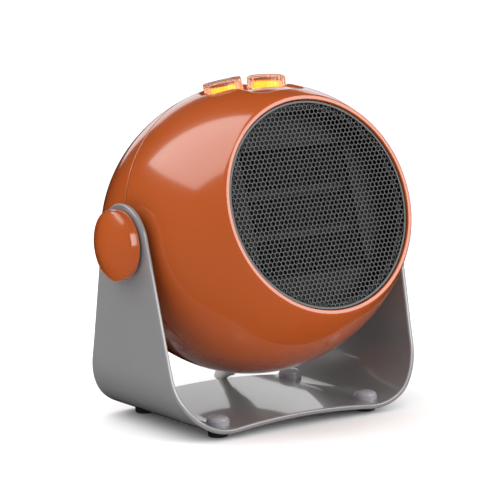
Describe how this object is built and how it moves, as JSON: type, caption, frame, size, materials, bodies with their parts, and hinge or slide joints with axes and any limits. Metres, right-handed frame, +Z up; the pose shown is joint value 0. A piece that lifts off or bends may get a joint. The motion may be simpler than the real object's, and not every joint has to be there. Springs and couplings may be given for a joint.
{
  "type": "ceramic fan heater",
  "caption": "Ball-shaped ceramic fan heater with a round honeycomb outlet, tilting between the arms of a bent strap stand, with two dials on top and a mains lead.",
  "frame": {"origin": "on the floor, under the middle of the heater's own box, the mains lead and plug not counted", "axes": "+Z up, -Y out of the front of the air outlet, X along the tilt axis"},
  "size_m": [0.3372, 0.2765, 0.2346],
  "materials": {
    "orange_shell": "high gloss",
    "grey_paint": "glossy powder paint",
    "cap_grey": "satin",
    "rubber": "matt",
    "cord_rubber": "satin",
    "black_plastic": "matt",
    "grille_black": "satin black",
    "fin_aluminium": "bright",
    "ceramic": "matt",
    "holder_plastic": "matt",
    "steel": "zinc plated",
    "brass": "nickel-dull",
    "clear_amber": "clear tinted plastic",
    "dial_core": "gloss",
    "light_ring": "lit from inside"
  },
  "bodies": {
    "stand": {"cord_coil": "cord_rubber", "cord_lead": "cord_rubber", "cord_tail": "cord_rubber", "foot_cap_front_left": "cap_grey", "foot_cap_front_right": "cap_grey", "foot_cap_rear_left": "cap_grey", "foot_cap_rear_right": "cap_grey", "plug_body": "black_plastic", "plug_pin_left": "brass", "plug_pin_right": "brass", "rubber_foot_front_left": "rubber", "rubber_foot_front_right": "rubber", "rubber_foot_rear_left": "rubber", "rubber_foot_rear_right": "rubber", "stand_bracket": "grey_paint"},
    "head": {"ceramic_bar_1": "ceramic", "ceramic_bar_2": "ceramic", "control_panel": "orange_shell", "cord_gland": "cord_rubber", "cord_upper": "cord_rubber", "element_holder_left": "holder_plastic", "element_holder_right": "holder_plastic", "fan_motor": "steel", "fan_shroud": "black_plastic", "front_baffle": "black_plastic", "front_grille": "grille_black", "front_shell": "orange_shell", "grille_clamp_ring": "black_plastic", "heater_duct": "black_plastic", "heater_fins_1": "fin_aluminium", "heater_fins_2": "fin_aluminium", "heater_fins_3": "fin_aluminium", "left_clamp_stud": "steel", "left_friction_washer": "rubber", "left_pivot_plate": "black_plastic", "motor_bracket": "black_plastic", "rear_intake_grille": "black_plastic", "rear_shell": "orange_shell", "right_clamp_stud": "steel", "right_friction_washer": "rubber", "right_pivot_plate": "black_plastic", "selector_body": "holder_plastic", "selector_light_ring": "light_ring", "shell_screw_1": "steel", "shell_screw_2": "steel", "terminal_block": "holder_plastic", "thermal_cutout": "holder_plastic", "thermostat_body": "holder_plastic", "thermostat_light_ring": "light_ring"},
    "fan": {"fan_impeller": "black_plastic", "motor_shaft": "steel"},
    "selector": {"selector_dial": "clear_amber", "selector_dial_core": "dial_core", "selector_spindle": "steel"},
    "thermostat": {"thermostat_dial": "clear_amber", "thermostat_dial_core": "dial_core", "thermostat_spindle": "steel"},
    "left_knob": {"left_clamp_knob": "orange_shell"},
    "right_knob": {"right_clamp_knob": "orange_shell"}
  },
  "joints": [
    {"name": "head_tilt", "type": "hinge", "parent": "stand", "child": "head", "pos_m": [0, -0.00654, 0.1291], "axis": [-1, 0, 0], "range_deg": [-28, 5], "deforming": ["cord_upper"]},
    {"name": "fan_spin", "type": "hinge", "parent": "head", "child": "fan", "pos_m": [0, -0.00654, 0.1291], "axis": [0, -0.9494, 0.314], "continuous": true},
    {"name": "selector_turn", "type": "hinge", "parent": "head", "child": "selector", "pos_m": [-0.01739, -0.00016, 0.22217], "axis": [-0.1259, 0.191, 0.9735], "range_deg": [-45, 90]},
    {"name": "thermostat_turn", "type": "hinge", "parent": "head", "child": "thermostat", "pos_m": [0.01739, -0.00016, 0.22217], "axis": [0.1259, 0.191, 0.9735], "range_deg": [-135, 135]},
    {"name": "left_knob_turn", "type": "hinge", "parent": "stand", "child": "left_knob", "pos_m": [-0.1072, -0.00654, 0.1291], "axis": [-1, 0, 0], "range_deg": [-360, 360]},
    {"name": "right_knob_turn", "type": "hinge", "parent": "stand", "child": "right_knob", "pos_m": [0.1072, -0.00654, 0.1291], "axis": [1, 0, 0], "range_deg": [-360, 360]}
  ]
}
